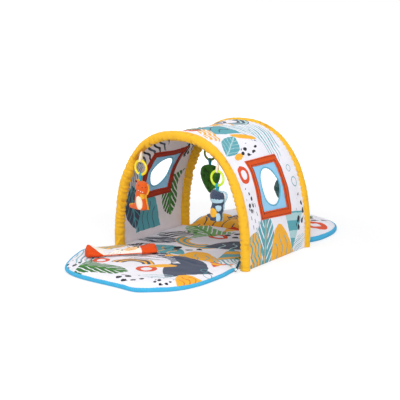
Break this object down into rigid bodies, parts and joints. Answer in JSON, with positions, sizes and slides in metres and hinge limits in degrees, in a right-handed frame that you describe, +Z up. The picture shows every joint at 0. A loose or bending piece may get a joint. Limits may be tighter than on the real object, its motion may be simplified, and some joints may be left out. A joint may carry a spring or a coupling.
{
  "type": "baby play gym",
  "caption": "Padded baby mat with folding end wings, a cloth tunnel on sleeved arches with a window in each side, hanging soft toys and a tummy pillow.",
  "frame": {"origin": "on the floor under the middle of the tunnel", "axes": "+X across the tunnel, to the right seen from the front; +Y along it, towards the rear wing; +Z up"},
  "size_m": [0.63, 1.2924, 0.488],
  "materials": {
    "black_felt": "felt",
    "blue_binding": "bias binding",
    "cream_plush": "short-pile plush",
    "cream_ribbon": "satin ribbon",
    "cyan_plastic": "moulded ring",
    "cyan_ribbon": "grosgrain ribbon",
    "foam": "polyethylene foam",
    "green_plastic": "moulded ring",
    "green_plush": "short-pile plush",
    "light_blue_cloth": "plain weave polyester",
    "lime_plastic": "moulded ring",
    "orange_cloth": "brushed polyester",
    "orange_felt": "felt",
    "orange_plush": "short-pile plush",
    "pale_blue_felt": "felt",
    "rod": "glass-fibre rod",
    "slate_plush": "short-pile plush",
    "steel": "plated tube",
    "teal_plush": "short-pile plush",
    "teal_tape": "woven tape",
    "white_plastic": "clear-white moulded snap",
    "white_print": "printed polyester",
    "yellow_cloth": "plain weave polyester",
    "yellow_felt": "felt",
    "yellow_plastic": "moulded ring"
  },
  "bodies": {
    "play_gym": {"mat_floor_panel": "white_print", "canopy": "white_print", "mat_strap_left": "teal_tape", "mat_strap_right": "teal_tape", "strap_snap_left": "white_plastic", "strap_snap_right": "white_plastic", "left_window_panel": "light_blue_cloth", "left_window_trim": "teal_tape", "left_window_frame_outside": "orange_cloth", "left_window_frame_inside": "orange_cloth", "right_window_panel": "light_blue_cloth", "right_window_trim": "teal_tape", "right_window_frame_outside": "orange_cloth", "right_window_frame_inside": "orange_cloth", "front_arch_sleeve": "yellow_cloth", "front_arch_foam": "foam", "front_rod_left": "rod", "front_rod_right": "rod", "front_rod_ferrule": "steel", "rear_arch_sleeve": "yellow_cloth", "rear_arch_foam": "foam", "rear_rod_left": "rod", "rear_rod_right": "rod", "rear_rod_ferrule": "steel", "toy_loop_front_left": "cream_ribbon", "toy_loop_front_right": "cream_ribbon", "toy_loop_rear_left": "cream_ribbon", "toy_loop_rear_right": "cream_ribbon"},
    "front_wing": {"front_wing_pad": "white_print", "front_wing_binding": "blue_binding"},
    "rear_wing": {"rear_wing_pad": "white_print", "rear_wing_binding": "blue_binding"},
    "tummy_pillow": {"tummy_pillow": "cream_plush", "pillow_end_near": "orange_plush", "pillow_end_far": "orange_plush"},
    "ring_front_left": {"ring_front_left": "yellow_plastic"},
    "ring_front_right": {"ring_front_right": "lime_plastic"},
    "ring_rear_left": {"ring_rear_left": "green_plastic"},
    "ring_rear_right": {"ring_rear_right": "cyan_plastic"},
    "orange_dinosaur": {"orange_dinosaur_head": "orange_plush", "orange_dinosaur_body": "orange_plush", "orange_dinosaur_tail": "orange_plush", "orange_dinosaur_belly": "cream_plush", "orange_dinosaur_edging": "yellow_felt", "orange_dinosaur_strap": "cyan_ribbon"},
    "blue_dinosaur": {"blue_dinosaur_head": "slate_plush", "blue_dinosaur_body": "slate_plush", "blue_dinosaur_tail": "slate_plush", "blue_dinosaur_belly": "yellow_felt", "blue_dinosaur_edging": "pale_blue_felt", "blue_dinosaur_strap": "cyan_ribbon"},
    "leaf_toy": {"leaf_toy_front": "green_plush", "leaf_toy_back": "black_felt", "leaf_toy_strap": "cyan_ribbon"},
    "egg_toy": {"egg_toy_body": "teal_plush", "egg_toy_band": "orange_felt", "egg_toy_strap": "cyan_ribbon"}
  },
  "joints": [
    {"name": "front_wing_fold", "type": "hinge", "parent": "play_gym", "child": "front_wing", "pos_m": [0, -0.25, 0.018], "axis": [-1, 0, 0], "range_deg": [0, 70]},
    {"name": "rear_wing_fold", "type": "hinge", "parent": "play_gym", "child": "rear_wing", "pos_m": [0, 0.25, 0.018], "axis": [1, 0, 0], "range_deg": [0, 80]},
    {"name": "tummy_pillow_lift", "type": "slide", "parent": "front_wing", "child": "tummy_pillow", "axis": [0, 0, -1], "range_m": [-0.15, 0]},
    {"name": "ring_swing_front_left", "type": "hinge", "parent": "play_gym", "child": "ring_front_left", "pos_m": [-0.1775, -0.228, 0.36067], "axis": [1, 0, 0], "range_deg": [-30, 30]},
    {"name": "orange_dinosaur_swing", "type": "hinge", "parent": "ring_front_left", "child": "orange_dinosaur", "pos_m": [-0.1775, -0.228, 0.30717], "axis": [1, 0, 0], "range_deg": [-30, 30]},
    {"name": "ring_swing_front_right", "type": "hinge", "parent": "play_gym", "child": "ring_front_right", "pos_m": [0.18, -0.228, 0.36041], "axis": [1, 0, 0], "range_deg": [-30, 30]},
    {"name": "blue_dinosaur_swing", "type": "hinge", "parent": "ring_front_right", "child": "blue_dinosaur", "pos_m": [0.18, -0.228, 0.30691], "axis": [1, 0, 0], "range_deg": [-30, 30]},
    {"name": "ring_swing_rear_left", "type": "hinge", "parent": "play_gym", "child": "ring_rear_left", "pos_m": [-0.163, 0.212, 0.35495], "axis": [-1, 0, 0], "range_deg": [-30, 30]},
    {"name": "leaf_toy_swing", "type": "hinge", "parent": "ring_rear_left", "child": "leaf_toy", "pos_m": [-0.163, 0.212, 0.30145], "axis": [-1, 0, 0], "range_deg": [-30, 30]},
    {"name": "ring_swing_rear_right", "type": "hinge", "parent": "play_gym", "child": "ring_rear_right", "pos_m": [0.186, 0.212, 0.34847], "axis": [-1, 0, 0], "range_deg": [-30, 30]},
    {"name": "egg_toy_swing", "type": "hinge", "parent": "ring_rear_right", "child": "egg_toy", "pos_m": [0.186, 0.212, 0.29497], "axis": [-1, 0, 0], "range_deg": [-30, 30]}
  ]
}
